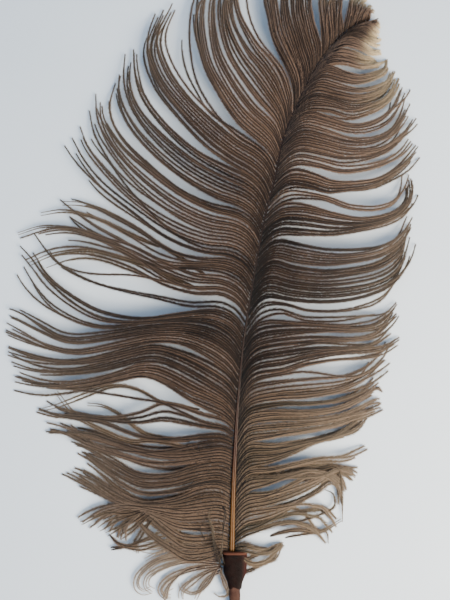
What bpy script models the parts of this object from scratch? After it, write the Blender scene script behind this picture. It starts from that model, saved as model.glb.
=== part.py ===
"""Ostrich wing plume lying flat, with its quill bound in a leather sleeve.

Metres, +Z up. The plume lies on the surface z = 0 with its crown towards +Y and its
grip towards -Y. The origin is the middle of the footprint, on that surface.
"""

import math

import bmesh
import bpy
from mathutils import Vector

MM = 0.001

# The shaft: where its centre line runs in plan, in mm from the grip to the crown.
SHAFT_PATH = (
    (13.4, -190.0), (13.2, -174.0), (13.9, -140.6), (14.9, -114.2), (17.2, -74.6),
    (21.1, -35.0), (27.4, 4.6), (34.6, 44.2), (41.2, 70.6), (46.9, 97.0),
    (57.4, 123.4), (71.9, 149.8), (89.8, 169.0), (110.2, 177.9),
)
SHAFT_STATIONS = 60
# Height of the centre line above the surface, in mm, at each share of the length.
SHAFT_RISE = ((0.0, 3.3), (0.06, 3.4), (0.35, 8.5), (0.62, 11.0), (0.86, 8.0), (1.0, 3.2))
SHAFT_WIDTH = ((0.0, 3.2), (0.05, 3.6), (0.15, 3.1), (0.3, 2.2), (0.55, 1.5), (1.0, 0.6))
SHAFT_HEIGHT_SHARE = 0.85
# Section of the shaft as shares of its width and height: the groove is in the top.
SHAFT_SECTION = (
    (0.5, 0.05), (0.42, 0.36), (0.2, 0.5), (0.0, 0.28), (-0.2, 0.5), (-0.42, 0.36),
    (-0.5, 0.05), (-0.4, -0.34), (-0.15, -0.5), (0.15, -0.5), (0.4, -0.34),
)
GAP = 0.3

# Guide barbs: the point of the shaft where each grows, by its Y, then the three points
# that pull its curve outwards and end it at its tip. All in mm, from base to crown.
LEFT_GUIDES = (
    (-171, (-8, -173), (-31, -176), (-52, -176)),
    (-150, (-15, -150), (-48, -158), (-87, -156)),
    (-121, (-15, -117), (-54, -124), (-103, -108)),
    (-94, (-11, -83), (-61, -86), (-120, -78)),
    (-68, (-5, -47), (-54, -46), (-135.6, -40)),
    (-42, (-7, -17), (-65, -19), (-137.2, -8)),
    (-15, (2, 8), (-67, 12), (-130, 28)),
    (18, (2, 42), (-67, 46), (-112, 72)),
    (44, (-1, 71), (-77, 77), (-88, 112)),
    (71, (2, 97), (-54, 117), (-56, 162)),
    (97, (15, 120), (-31, 156), (-22, 200)),
    (123, (32, 147), (9, 180), (14, 220.4)),
    (143, (52, 160), (36, 188), (42, 220)),
    (163, (73, 175), (68, 189), (76, 208)),
    (176, (98, 181), (97, 187), (104, 191)),
)
RIGHT_GUIDES = (
    (-171, (25, -176), (42, -178), (58, -171)),
    (-160, (33, -160), (58, -168), (82, -166)),
    (-135, (35, -127), (71, -136), (94, -136)),
    (-108, (33, -93), (75, -104), (103, -106)),
    (-75, (37, -60), (81, -75), (114, -71)),
    (-45, (42, -32), (88, -45), (122, -36)),
    (-12, (45, -2), (94, -12), (127, 8)),
    (21, (51, 31), (101, 21), (133, 42)),
    (54, (58, 63), (104, 53), (136.6, 76)),
    (80, (65, 90), (108, 80), (138.2, 104)),
    (105, (70, 114), (106, 108), (127, 135)),
    (137, (78, 142), (99, 137), (117, 154)),
    (163, (91, 167), (103, 164), (112, 167)),
    (176, (104, 175), (108, 174), (112.5, 174.5)),
)
VANE_COLUMNS = 85
VANE_ROWS = 9
VANE_THICK_ROOT = 2.2
VANE_THICK_TIP = 1.2
VANE_LIFT = 5.0
LEFT_LOCKS = 14
RIGHT_LOCKS = 12
LOCK_NOTCH = 0.13

# Down at the foot of the plume: guides that grow along the sleeve's left side.
DOWN_GUIDES = (
    (-178, (-10, -180), (-30, -180), (-46, -186)),
    (-184, (-12, -185), (-34, -188), (-49, -197)),
    (-191, (-12, -193), (-30, -198), (-42, -204)),
    (-197, (-4, -200), (-18, -206), (-26, -209)),
    (-203, (2, -206), (-2, -209), (-6, -211)),
)
DOWN_ROOT_X = 6.4
DOWN_COLUMNS = 16
DOWN_THICK = 3.0

# The leather sleeve: distance from its mouth, half width and height, in mm.
SLEEVE_MOUTH_Y = -174.5
SLEEVE_CENTRE_X = 15.2
SLEEVE_SKIN = (
    (0.0, 7.6, 6.4), (0.4, 8.2, 7.2), (1.4, 8.3, 7.4), (2.0, 8.0, 7.0), (8.0, 8.0, 7.0),
    (14.0, 7.6, 6.8), (17.5, 6.2, 6.5), (21.0, 4.9, 6.2), (24.6, 4.5, 6.0), (25.0, 4.3, 5.7),
)
SLEEVE_SHIFT = ((0.0, 0.0), (8.0, 0.0), (14.0, 0.2), (25.0, -0.2))
SLEEVE_SQUARENESS = 3.2
SLEEVE_CORNERS = 24
POCKET_WIDE = 4.8
POCKET_HIGH = 4.4
POCKET_DEPTH = 17.0
SOCKET_WIDE = 7.6
SOCKET_HIGH = 4.6
SOCKET_DEPTH = 4.0
BINDING_MID_HEIGHT = 3.3

# The paler grip below the sleeve: distance from the sleeve's end, half width, half height.
GRIP_SKIN = (
    (-3.6, 3.0, 1.6), (-3.4, 3.3, 1.9), (0.4, 3.4, 1.9), (0.9, 3.9, 2.7), (12.0, 3.8, 2.7),
    (20.0, 3.7, 2.6), (21.8, 3.2, 2.2), (22.7, 2.0, 1.3),
)
GRIP_CENTRE_X = 15.0
GRIP_CORNERS = 16


def clear_scene():
    """Remove every object of the scene that Blender opens with."""
    for thing in list(bpy.data.objects):
        bpy.data.objects.remove(thing, do_unlink=True)


def finish(name, colour, roughness, metallic=0.0):
    """A Principled material of one colour."""
    material = bpy.data.materials.new(name)
    material.use_nodes = True
    shader = material.node_tree.nodes["Principled BSDF"]
    shader.inputs["Base Color"].default_value = (*colour, 1.0)
    shader.inputs["Roughness"].default_value = roughness
    shader.inputs["Metallic"].default_value = metallic
    return material


def solid(name, points, faces, material):
    """A closed mesh object from points in mm, with its faces turned outwards."""
    shape = bmesh.new()
    corners = [shape.verts.new(Vector(point) * MM) for point in points]
    for face in faces:
        shape.faces.new([corners[index] for index in face])
    bmesh.ops.recalc_face_normals(shape, faces=shape.faces)
    mesh = bpy.data.meshes.new(name)
    shape.to_mesh(mesh)
    shape.free()
    mesh.shade_smooth()
    mesh.set_sharp_from_angle(angle=math.radians(50.0))
    mesh.materials.append(material)
    piece = bpy.data.objects.new(name, mesh)
    bpy.context.scene.collection.objects.link(piece)
    return piece


def along(knots, share):
    """The value at a share of the way through (share, value) knots, eased between them."""
    for (start, low), (end, high) in zip(knots, knots[1:]):
        if share <= end:
            step = max(0.0, share - start) / (end - start)
            return low + (high - low) * step * step * (3.0 - 2.0 * step)
    return knots[-1][1]


def smooth_mix(rows, place):
    """The row at a fractional place in a list of rows, on a smooth curve through them."""
    index = min(int(place), len(rows) - 2)
    step = place - index
    before, start = rows[max(index - 1, 0)], rows[index]
    end, after = rows[index + 1], rows[min(index + 2, len(rows) - 1)]
    return [
        0.5 * (
            2.0 * b + (c - a) * step + (2.0 * a - 5.0 * b + 4.0 * c - d) * step**2
            + (3.0 * b - a - 3.0 * c + d) * step**3
        )
        for a, b, c, d in zip(before, start, end, after)
    ]


def shaft_centre(place):
    """The shaft's centre in plan at a fractional place in SHAFT_PATH."""
    return smooth_mix(SHAFT_PATH, place)


def shaft_frames():
    """(centre, sideways direction, share of the length) at each station of the shaft."""
    last = len(SHAFT_PATH) - 1
    places = [last * n / (SHAFT_STATIONS - 1) for n in range(SHAFT_STATIONS)]
    centres = [shaft_centre(place) for place in places]
    walked = [0.0]
    for here, there in zip(centres, centres[1:]):
        walked.append(walked[-1] + math.dist(here, there))
    frames = []
    for n, (x, y) in enumerate(centres):
        ahead = centres[min(n + 1, SHAFT_STATIONS - 1)]
        behind = centres[max(n - 1, 0)]
        run, rise = ahead[0] - behind[0], ahead[1] - behind[1]
        size = math.hypot(run, rise)
        share = walked[n] / walked[-1]
        frames.append(((x, y, along(SHAFT_RISE, share)), (rise / size, -run / size), share))
    return frames


def shaft_at_y(frames, y):
    """The frame of the shaft where its centre line reaches this Y."""
    for here, there in zip(frames, frames[1:]):
        low, high = here[0][1], there[0][1]
        if low <= y <= high:
            step = (y - low) / (high - low)
            centre = [a + (b - a) * step for a, b in zip(here[0], there[0])]
            side = [a + (b - a) * step for a, b in zip(here[1], there[1])]
            return centre, side, here[2] + (there[2] - here[2]) * step
    return frames[-1]


def loft(name, rings, material):
    """A closed solid through rings of the same number of points, capped at both ends."""
    count = len(rings[0])
    points = [point for ring in rings for point in ring]
    faces = [
        (row * count + n, row * count + (n + 1) % count,
         (row + 1) * count + (n + 1) % count, (row + 1) * count + n)
        for row in range(len(rings) - 1)
        for n in range(count)
    ]
    first = list(range(count))
    faces += [first[::-1], [n + (len(rings) - 1) * count for n in first]]
    return solid(name, points, faces, material)


def plate(name, columns, material):
    """A closed sheet: each column is a list of (x, y, middle height, thickness)."""
    count = len(columns[0])
    points = []
    for half in (0.5, -0.5):
        points += [(x, y, z + half * thick) for column in columns for x, y, z, thick in column]
    under = len(columns) * count
    faces = []
    for c in range(len(columns) - 1):
        for r in range(count - 1):
            a, b = c * count + r, (c + 1) * count + r
            faces += [(a, b, b + 1, a + 1), (a + under, a + 1 + under, b + 1 + under, b + under)]
    edge = [c * count for c in range(len(columns))]
    edge += [(len(columns) - 1) * count + r for r in range(1, count)]
    edge += [c * count + count - 1 for c in range(len(columns) - 2, -1, -1)]
    edge += list(range(count - 2, 0, -1))
    for a, b in zip(edge, edge[1:] + edge[:1]):
        faces.append((a, a + under, b + under, b))
    return solid(name, points, faces, material)


def barb_point(root, guide, share):
    """The point in plan at a share of a barb's length: a cubic curve from root to tip."""
    (ax, ay), (bx, by), (tx, ty) = guide[:2], guide[2:4], guide[4:]
    a = (1.0 - share) ** 3
    b = 3.0 * share * (1.0 - share) ** 2
    c = 3.0 * share**2 * (1.0 - share)
    d = share**3
    return (
        a * root[0] + b * ax + c * bx + d * tx,
        a * root[1] + b * ay + c * by + d * ty,
    )


def notch(share, locks):
    """How far along its length a barb column runs: full in a lock, less between two."""
    return 1.0 - LOCK_NOTCH * abs(math.cos(math.pi * locks * share)) ** 6


def guide_row(guide):
    """A guide's numbers in one flat list, so that rows can be mixed."""
    return [guide[0], *guide[1], *guide[2], *guide[3]]


def vane_columns(frames, guides, side, locks):
    """Columns of one vane, from the base to the crown, on the side that -1 or +1 names."""
    rows = [guide_row(guide) for guide in guides]
    columns = []
    for n in range(VANE_COLUMNS):
        share = n / (VANE_COLUMNS - 1)
        mixed = smooth_mix(rows, share * (len(rows) - 1))
        centre, sideways, length_share = shaft_at_y(frames, mixed[0])
        clear = 0.5 * along(SHAFT_WIDTH, length_share) + GAP
        root = [centre[k] + side * clear * sideways[k] for k in (0, 1)]
        reach = notch(share, locks)
        column = []
        for r in range(VANE_ROWS):
            v = reach * r / (VANE_ROWS - 1)
            x, y = barb_point(root, mixed[1:], v)
            thick = VANE_THICK_ROOT + (VANE_THICK_TIP - VANE_THICK_ROOT) * v
            z = centre[2] * (1.0 - v * v) + VANE_LIFT * 4.0 * v * (1.0 - v)
            column.append((x, y, z + 0.5 * VANE_THICK_TIP * v * v, thick))
        columns.append(column)
    return columns


def down_columns():
    """Columns of the down at the foot, which lies flat beside the sleeve."""
    rows = [guide_row(guide) for guide in DOWN_GUIDES]
    columns = []
    for n in range(DOWN_COLUMNS):
        share = n / (DOWN_COLUMNS - 1)
        mixed = smooth_mix(rows, share * (len(rows) - 1))
        column = []
        for r in range(VANE_ROWS):
            v = r / (VANE_ROWS - 1)
            x, y = barb_point((DOWN_ROOT_X, mixed[0]), mixed[1:], v)
            thick = DOWN_THICK * (1.0 - 0.5 * v)
            column.append((x, y, 0.5 * thick + 1.5 * v * (1.0 - v), thick))
        columns.append(column)
    return columns


def sleeve_ring(distance, half_wide, high, middle_x):
    """A rounded four-sided ring across the sleeve, flat where it would pass the surface."""
    ring = []
    for n in range(SLEEVE_CORNERS):
        turn = 2.0 * math.pi * n / SLEEVE_CORNERS
        across, up = math.cos(turn), math.sin(turn)
        power = 2.0 / SLEEVE_SQUARENESS
        x = half_wide * math.copysign(abs(across) ** power, across)
        z = BINDING_MID_HEIGHT + 0.5 * high * math.copysign(abs(up) ** power, up)
        ring.append((middle_x + x, SLEEVE_MOUTH_Y - distance, max(z, 0.0)))
    return ring


def sleeve_rings():
    """The sleeve's surface as one chain: the quill's pocket, the skin, the grip's socket."""
    rings = [
        sleeve_ring(d, POCKET_WIDE / 2, POCKET_HIGH, shaft_centre(1.0)[0])
        for d in (POCKET_DEPTH, POCKET_DEPTH / 2, 0.0)
    ]
    for distance, half_wide, high in SLEEVE_SKIN:
        middle = SLEEVE_CENTRE_X + along(SLEEVE_SHIFT, distance)
        rings.append(sleeve_ring(distance, half_wide, high, middle))
    end = SLEEVE_SKIN[-1][0]
    middle = GRIP_CENTRE_X
    for distance in (end, end - SOCKET_DEPTH / 2, end - SOCKET_DEPTH):
        rings.append(sleeve_ring(distance, SOCKET_WIDE / 2, SOCKET_HIGH, middle))
    return rings


def grip_rings():
    """Rings of the grip from inside the socket to its rounded end."""
    rings = []
    start = SLEEVE_MOUTH_Y - SLEEVE_SKIN[-1][0]
    for distance, half_wide, half_high in GRIP_SKIN:
        ring = []
        for n in range(GRIP_CORNERS):
            turn = 2.0 * math.pi * n / GRIP_CORNERS
            z = BINDING_MID_HEIGHT + half_high * math.sin(turn)
            ring.append((GRIP_CENTRE_X + half_wide * math.cos(turn), start - distance, z))
        rings.append(ring)
    return rings


def shaft_rings(frames):
    """Rings of the shaft: its grooved section set square across each station."""
    rings = []
    for (x, y, z), (across_x, across_y), share in frames:
        wide = along(SHAFT_WIDTH, share)
        high = wide * SHAFT_HEIGHT_SHARE
        rings.append([
            (x + across_x * u * wide, y + across_y * u * wide, z + w * high)
            for u, w in SHAFT_SECTION
        ])
    return rings


def main():
    clear_scene()
    horn = finish("shaft_horn", (0.36, 0.21, 0.09), 0.4)
    barbs = finish("feather_barbs", (0.11, 0.075, 0.055), 0.8)
    down = finish("feather_down", (0.27, 0.2, 0.16), 0.9)
    leather = finish("sleeve_leather", (0.03, 0.012, 0.009), 0.55)
    pale_leather = finish("grip_leather", (0.16, 0.08, 0.06), 0.6)

    frames = shaft_frames()
    loft("shaft", shaft_rings(frames), horn)
    plate("left_vane", vane_columns(frames, LEFT_GUIDES, -1, LEFT_LOCKS), barbs)
    plate("right_vane", vane_columns(frames, RIGHT_GUIDES, 1, RIGHT_LOCKS), barbs)
    plate("base_down", down_columns(), down)
    loft("leather_sleeve", sleeve_rings(), leather)
    loft("leather_grip", grip_rings(), pale_leather)


main()
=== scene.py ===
"""An ostrich wing plume lying flat, its quill bound in a leather sleeve with a short grip.

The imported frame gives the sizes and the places. This script gives the looks: every loose
barb with its fringe of barbules, the horn of the shaft, and the worked leather.
"""

import logging
import math
from dataclasses import dataclass, field
from enum import Enum

import bmesh
import bpy
import numpy as np
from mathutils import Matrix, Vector


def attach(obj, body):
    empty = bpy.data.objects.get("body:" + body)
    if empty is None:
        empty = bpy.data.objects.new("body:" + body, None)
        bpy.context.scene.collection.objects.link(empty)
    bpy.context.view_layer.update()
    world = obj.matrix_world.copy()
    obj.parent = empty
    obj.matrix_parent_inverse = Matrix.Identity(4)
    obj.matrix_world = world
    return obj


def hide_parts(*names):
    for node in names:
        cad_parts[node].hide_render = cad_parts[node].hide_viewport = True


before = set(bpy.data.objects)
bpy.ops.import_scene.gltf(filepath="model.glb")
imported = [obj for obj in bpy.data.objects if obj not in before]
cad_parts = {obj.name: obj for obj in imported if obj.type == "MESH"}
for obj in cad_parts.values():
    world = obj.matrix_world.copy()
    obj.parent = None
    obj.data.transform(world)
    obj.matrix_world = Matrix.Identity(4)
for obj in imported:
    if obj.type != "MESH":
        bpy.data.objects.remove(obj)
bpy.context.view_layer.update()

MM = 0.001
BODY = "root"
SLEEVE_MOUTH = -174.5  # the Y of the sleeve's mouth, in mm
NOWHERE = (1.0, 1.001)  # a range of X or Y, in metres, that no piece reaches
log = logging.getLogger("plume")


class Side(Enum):
    """The side of the shaft that a vane grows on, as seen from above."""

    LEFT = -1
    RIGHT = 1


class Stretch(Enum):
    """The stretch of the plume that a piece of vane covers, named from the grip upwards."""

    FOOT = "foot"
    WAIST = "waist"
    SHOULDER = "shoulder"
    CROWN = "crown"


@dataclass(frozen=True)
class Lock:
    """Barbs that lie together, between two or more guide barbs.

    Attributes:
        name: What the lock is called in the log.
        stretch: The piece of vane that it belongs to.
        guides: One row for each guide barb: the Y on the shaft where it grows, then
            the points that it passes through, in mm.
        stray: The share of its barbs that wander across their neighbours.
        tidy: How strongly its barbs draw together towards their tips, 0 to 1.
        pale: How far its tips turn cream, 0 to 1: painted light, as of light shining through the thin tips.
    """

    name: str
    stretch: Stretch
    guides: tuple
    stray: float = 0.06
    tidy: float = 0.6
    pale: float = 0.06


@dataclass(frozen=True)
class Wisp:
    """A loose strand, with copies fanned out beside it.

    Attributes:
        points: The points that it passes through, in mm.
        heights: Its height at its start, middle and end, in mm.
        copies: How many strands there are.
        full: How bushy they are, as a share of a barb.
        spread: How far apart they end, in mm.
    """

    points: tuple
    heights: tuple
    copies: int = 1
    spread: float = 1.6
    full: float = 1.0


LEFT_LOCKS = (
    Lock("foot", Stretch.FOOT, (
        (-172, (1, -178), (-15, -180), (-26, -174), (-38, -166), (-46, -159), (-51, -151), (-62, -145),
         (-71, -141)),
        (-164, (-5, -166), (-20, -164), (-32, -156), (-42, -148), (-53, -147), (-66, -152),
         (-75, -161)),
    ), stray=0.2, tidy=0.3),
    Lock("fan", Stretch.FOOT, (
        (-156, (-5, -158), (-21, -157), (-34, -151), (-45, -147), (-51, -151), (-59, -158),
         (-61, -167)),
        (-148, (-1, -148), (-21, -149), (-38, -146), (-54, -144), (-71, -147), (-87, -156)),
    ), stray=0.2, tidy=0.3),
    Lock("long_low", Stretch.FOOT, (
        (-142, (-1, -143), (-21, -145), (-41, -144), (-61, -142), (-77, -135), (-100, -126)),
        (-134, (-5, -133), (-24, -139), (-44, -141), (-61, -134), (-74, -126), (-88, -120)),
    )),
    Lock("low_sheaf", Stretch.FOOT, (
        (-127, (-5, -128), (-24, -133), (-44, -135), (-58, -130), (-69, -123), (-83, -112)),
        (-118, (-8, -119), (-28, -123), (-48, -123), (-62, -117), (-77, -110), (-96, -106)),
    ), stray=0.15),
    Lock("wavy", Stretch.FOOT, (
        (-110, (-5, -112), (-26, -115), (-44, -114), (-64, -109), (-81, -104), (-97, -96), (-107, -94)),
        (-102, (-5, -104), (-26, -106), (-44, -105), (-62, -101), (-79, -96), (-96, -94), (-111, -92)),
    ), stray=0.15),
    Lock("wave_top", Stretch.FOOT, (
        (-97, (-3, -97), (-20, -99), (-40, -99), (-55, -95), (-74, -88), (-94, -86), (-115, -82)),
        (-92, (-3, -88), (-18, -81), (-32, -77), (-46, -82), (-64, -85), (-87, -84), (-104, -82),
         (-116, -76)),
    ), stray=0.25, tidy=0.3),
    Lock("s_lock", Stretch.WAIST, (
        (-85, (1, -77), (-15, -71), (-29, -63), (-44, -58), (-61, -61), (-84, -66), (-107, -67),
         (-131, -63)),
        (-76, (0, -65), (-17, -55), (-34, -48), (-49, -49), (-71, -55), (-95, -58), (-115, -57),
         (-130, -53)),
        (-65, (0, -53), (-18, -44), (-37, -39), (-57, -43), (-81, -48), (-100, -49), (-120, -46),
         (-136, -41)),
    )),
    Lock("s_top", Stretch.WAIST, (
        (-57, (1, -44), (-18, -36), (-38, -35), (-61, -39), (-87, -43), (-107, -40), (-123, -34),
         (-137, -28)),
        (-43, (3, -30), (-17, -25), (-41, -26), (-67, -30), (-94, -32), (-112, -24), (-127, -16),
         (-137, -13)),
    )),
    Lock("arc_low", Stretch.WAIST, (
        (-36, (3, -24), (-18, -22), (-42, -23), (-69, -26), (-90, -21), (-107, -11), (-118, 1),
         (-125, 12)),
        (-28, (4, -18), (-18, -19), (-46, -22), (-73, -17), (-96, -4), (-110, 8), (-118, 20),
         (-126, 29)),
    )),
    Lock("lone", Stretch.WAIST, (
        (-20, (7, -11), (-13, -11), (-34, -7), (-55, -3), (-75, 2), (-91, 9), (-104, 18), (-118, 38)),
    ), tidy=0.9),
    Lock("bow", Stretch.WAIST, (
        (-13, (8, -3), (-11, -3), (-31, 2), (-51, 13), (-71, 21), (-88, 24), (-106, 22), (-122, 15)),
        (-5, (9, 5), (-11, 8), (-31, 16), (-50, 26), (-74, 33), (-94, 39), (-112, 39), (-129, 35)),
    ), stray=0.3, tidy=0.3),
    Lock("wedge", Stretch.SHOULDER, (
        (1, (11, 11), (-9, 13), (-29, 13), (-48, 19), (-66, 29), (-84, 39), (-100, 54), (-110, 69)),
        (7, (12, 16), (-8, 18), (-28, 24), (-46, 36), (-64, 46), (-82, 53), (-99, 55)),
    ), stray=0.2, tidy=0.4),
    Lock("comb_low", Stretch.SHOULDER, (
        (13, (13, 22), (-6, 24), (-28, 32), (-51, 48), (-72, 64), (-86, 80), (-96, 96)),
        (24, (16, 34), (-3, 37), (-26, 47), (-50, 63), (-68, 82), (-80, 98), (-85, 114)),
        (35, (18, 46), (0, 51), (-21, 62), (-42, 79), (-61, 98), (-71, 119), (-69, 142)),
    )),
    Lock("comb_mid", Stretch.SHOULDER, (
        (42, (20, 53), (3, 59), (-17, 70), (-38, 87), (-55, 107), (-63, 128), (-61, 152)),
        (57, (25, 69), (9, 77), (-10, 88), (-29, 105), (-44, 125), (-51, 145), (-53, 159)),
    )),
    Lock("comb_top", Stretch.SHOULDER, (
        (61, (26, 73), (12, 81), (-5, 93), (-24, 112), (-39, 131), (-46, 155), (-36, 180)),
        (77, (31, 89), (18, 97), (3, 110), (-14, 127), (-27, 147), (-32, 167), (-24, 191)),
    )),
    Lock("wisp", Stretch.SHOULDER, (
        (79, (31, 90), (17, 99), (-2, 112), (-11, 127), (-18, 144), (-21, 166), (-17, 189)),
    ), tidy=0.9),
    Lock("swan", Stretch.CROWN, (
        (82, (32, 92), (18, 103), (9, 114), (1, 127), (-5, 138), (-9, 151), (-12, 168), (-11, 184),
         (-4, 204)),
        (98, (38, 109), (27, 119), (15, 135), (6, 152), (2, 171), (2, 190), (7, 212)),
        (113, (49, 125), (45, 137), (38, 148), (30, 157), (24, 167), (19, 178), (17, 190), (18, 204),
         (23, 220)),
    )),
    Lock("wisp_top", Stretch.CROWN, (
        (117, (51, 131), (46, 142), (38, 152), (32, 160), (27, 171), (24, 185), (24, 201), (29, 221)),
    ), tidy=0.9),
    Lock("crest", Stretch.CROWN, (
        (121, (53, 135), (48, 145), (43, 154), (39, 164), (37, 176), (35, 189), (36, 204), (40, 222)),
        (138, (59, 150), (55, 162), (51, 176), (50, 189), (51, 203), (56, 221)),
        (151, (69, 161), (66, 172), (64, 184), (65, 197), (69, 214)),
    )),
    Lock("crest_end", Stretch.CROWN, (
        (156, (74, 167), (72, 178), (71, 188), (73, 198), (77, 210)),
        (167, (84, 174), (84, 182), (85, 190), (88, 197), (91, 203)),
    ), pale=0.5),
    Lock("tuft", Stretch.CROWN, (
        (170, (90, 176), (90, 183), (91, 189), (93, 193), (96, 197)),
        (174, (99, 179), (100, 183), (102, 187), (104, 190)),
        (177, (106, 180), (108, 182), (109, 184)),
    ), pale=1.0),
)

RIGHT_LOCKS = (
    Lock("foot", Stretch.FOOT, (
        (-173, (21, -181), (29, -184), (37, -182), (42, -176), (46, -170)),
        (-169, (22, -171), (33, -173), (42, -173), (48, -170)),
    )),
    Lock("low_tangle", Stretch.FOOT, (
        (-164, (22, -162), (36, -158), (51, -155), (65, -160), (77, -170)),
        (-154, (23, -149), (37, -146), (53, -141), (70, -133), (81, -126), (85, -133), (86, -143)),
        (-145, (23, -140), (37, -137), (54, -131), (70, -125), (82, -121), (90, -123), (94, -127)),
    ), stray=0.25, tidy=0.4),
    Lock("low_rise", Stretch.FOOT, (
        (-137, (24, -131), (37, -128), (53, -123), (66, -121), (78, -125), (85, -133), (87, -144)),
        (-129, (24, -122), (38, -120), (55, -116), (71, -113), (88, -112), (102, -106)),
    ), stray=0.25, tidy=0.4),
    Lock("rise", Stretch.FOOT, (
        (-122, (24, -115), (38, -113), (53, -108), (67, -102), (82, -98), (94, -94), (101, -86)),
        (-112, (24, -105), (40, -104), (59, -101), (78, -98), (91, -93), (102, -88)),
    ), stray=0.15),
    Lock("sweep_low", Stretch.FOOT, (
        (-105, (24, -98), (40, -96), (59, -94), (78, -91), (94, -86), (112, -79)),
        (-93, (25, -85), (42, -82), (62, -82), (82, -80), (98, -74), (110, -67), (112, -71)),
    )),
    Lock("sweep", Stretch.WAIST, (
        (-86, (26, -79), (44, -76), (63, -76), (83, -74), (99, -69), (111, -61), (118, -59)),
        (-76, (27, -67), (45, -63), (65, -61), (85, -59), (100, -53), (112, -43), (116, -35)),
    )),
    Lock("hood", Stretch.WAIST, (
        (-68, (28, -58), (45, -55), (62, -50), (81, -47), (98, -46), (111, -43), (122, -36)),
        (-51, (30, -42), (50, -38), (70, -36), (90, -36), (106, -34), (116, -28), (123, -20)),
        (-34, (32, -26), (53, -24), (73, -25), (91, -26), (107, -24), (117, -18), (123, -11)),
    )),
    Lock("single_low", Stretch.WAIST, (
        (-26, (33, -17), (45, -15), (59, -20), (79, -21), (98, -20), (114, -19), (123, -15)),
    ), tidy=0.9),
    Lock("pair", Stretch.WAIST, (
        (-20, (34, -11), (48, -11), (62, -15), (82, -16), (98, -14), (112, -9), (121, 0), (124, 7)),
    )),
    Lock("comb_low", Stretch.WAIST, (
        (-11, (36, -4), (50, -7), (69, -9), (88, -8), (105, -4), (117, 2), (125, 13), (129, 27)),
        (7, (39, 13), (53, 9), (73, 7), (92, 9), (110, 13), (123, 21), (129, 31), (133, 43)),
        (24, (43, 29), (56, 27), (76, 24), (95, 24), (112, 27), (124, 35), (131, 47)),
    )),
    Lock("comb_mid", Stretch.SHOULDER, (
        (30, (44, 36), (58, 35), (78, 33), (98, 36), (114, 40), (125, 46), (131, 55), (134, 64)),
        (46, (48, 51), (61, 51), (79, 47), (96, 44), (112, 46), (123, 51), (131, 60), (131, 72)),
    )),
    Lock("hang", Stretch.SHOULDER, (
        (53, (50, 59), (62, 59), (75, 57), (89, 52), (106, 51), (119, 55), (127, 64), (131, 76)),
    )),
    Lock("hook", Stretch.SHOULDER, (
        (61, (51, 67), (65, 65), (75, 62), (88, 63), (105, 65), (119, 72), (128, 79), (135, 88)),
        (69, (53, 74), (66, 72), (78, 68), (92, 67), (108, 69), (121, 76), (131, 84), (138, 92)),
    )),
    Lock("fore_low", Stretch.SHOULDER, (
        (76, (55, 81), (68, 79), (84, 75), (101, 77), (114, 81), (124, 87), (132, 97)),
        (90, (58, 96), (71, 94), (88, 90), (104, 90), (116, 95), (125, 105), (132, 117)),
        (106, (62, 112), (75, 109), (91, 105), (104, 107), (115, 113), (123, 123), (128, 133)),
    )),
    Lock("fore", Stretch.CROWN, (
        (112, (64, 117), (77, 116), (91, 112), (104, 115), (114, 120), (121, 129), (125, 138)),
        (126, (69, 130), (81, 127), (93, 125), (105, 127), (114, 132), (120, 141)),
        (138, (75, 142), (86, 139), (96, 137), (107, 140), (115, 145), (117, 152)),
    ), pale=0.35),
    Lock("brow", Stretch.CROWN, (
        (146, (79, 148), (88, 147), (98, 145), (108, 147), (116, 151)),
        (152, (83, 154), (92, 153), (100, 151), (108, 150)),
    ), pale=0.6),
    Lock("tuft", Stretch.CROWN, (
        (158, (87, 159), (96, 157), (104, 154), (112, 154)),
        (167, (94, 167), (102, 164), (108, 163), (112, 165)),
        (172, (101, 172), (106, 169), (111, 168)),
        (176, (106, 175), (110, 174), (112, 173)),
    ), pale=1.0),
)

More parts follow.
